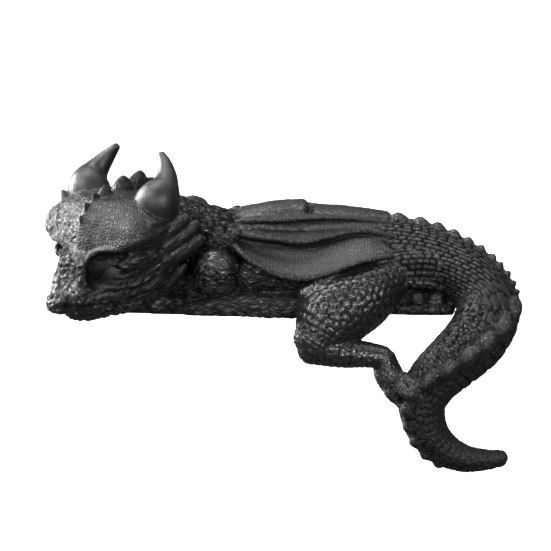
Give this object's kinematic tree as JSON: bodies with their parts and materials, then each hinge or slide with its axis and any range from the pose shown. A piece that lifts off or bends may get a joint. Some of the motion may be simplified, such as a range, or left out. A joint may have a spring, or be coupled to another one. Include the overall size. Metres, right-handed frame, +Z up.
{
  "type": "dragon statue",
  "caption": "Small black resin dragon asleep along a shelf's edge, wings folded over its back, one hind leg and the tail hanging down in front of the shelf.",
  "frame": {"origin": "on the flat underside, above the shelf, 20 mm behind the shelf's front edge", "axes": "+X along the shelf from head to tail, -Y out over the shelf's edge to the viewer, +Z up"},
  "size_m": [0.1498, 0.0715, 0.0985],
  "materials": {
    "black_resin": "semi-gloss black cast resin, smooth on horns and wings, scaled elsewhere"
  },
  "bodies": {
    "root": {"dragon": "black_resin"}
  },
  "joints": []
}
